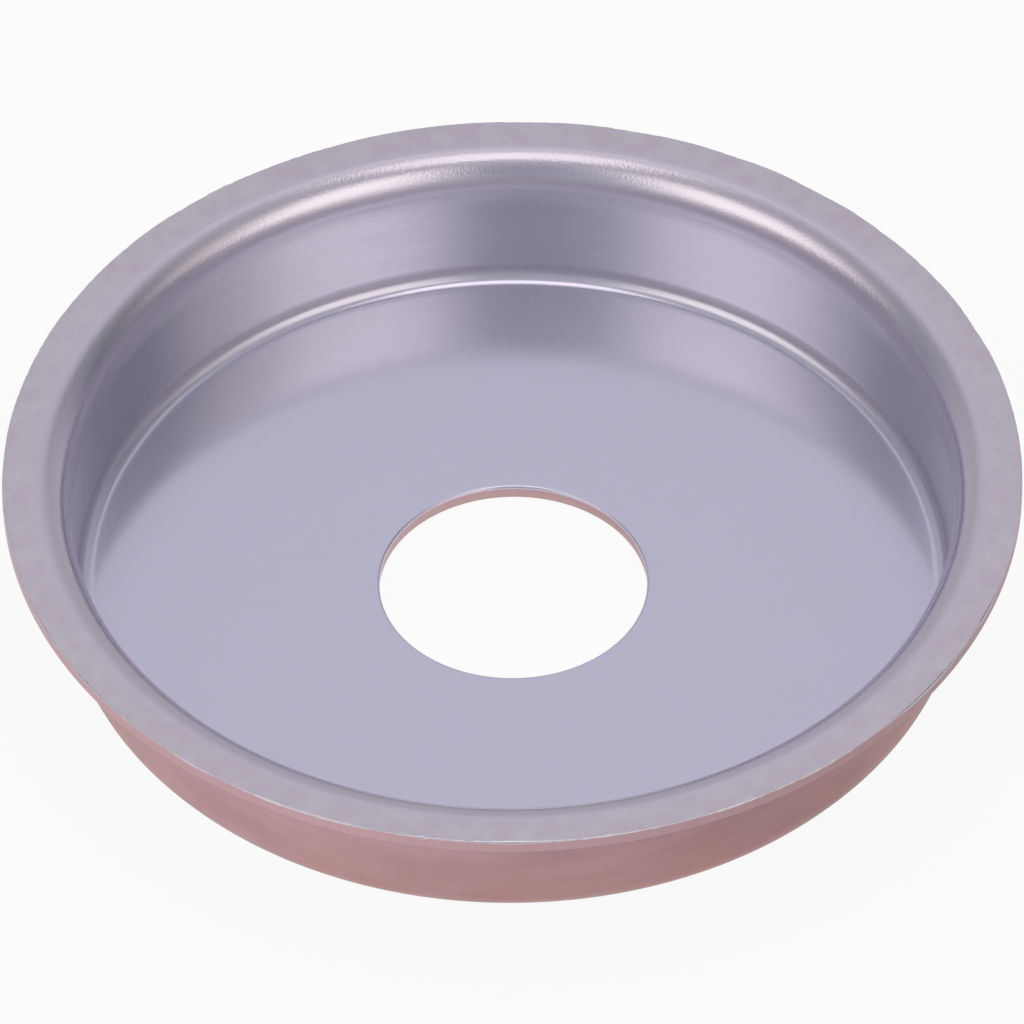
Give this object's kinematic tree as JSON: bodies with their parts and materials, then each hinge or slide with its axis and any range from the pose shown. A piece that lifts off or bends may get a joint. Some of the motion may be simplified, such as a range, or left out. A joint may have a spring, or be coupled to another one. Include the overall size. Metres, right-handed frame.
{
  "type": "turbocharger heat shield",
  "caption": "Shallow round dish pressed from steel sheet, with a flat flange and a round hole in its floor, which keeps turbine heat off a turbocharger's bearing housing.",
  "frame": {"origin": "middle of the floor's underside, on the dish's axis", "axes": "+Z along the dish's axis, from the floor towards the open side; X and Y are equal"},
  "size_m": [0.076, 0.076, 0.0122],
  "materials": {
    "pressed_steel": "satin, as drawn"
  },
  "bodies": {
    "root": {"heat_shield": "pressed_steel"}
  },
  "joints": []
}
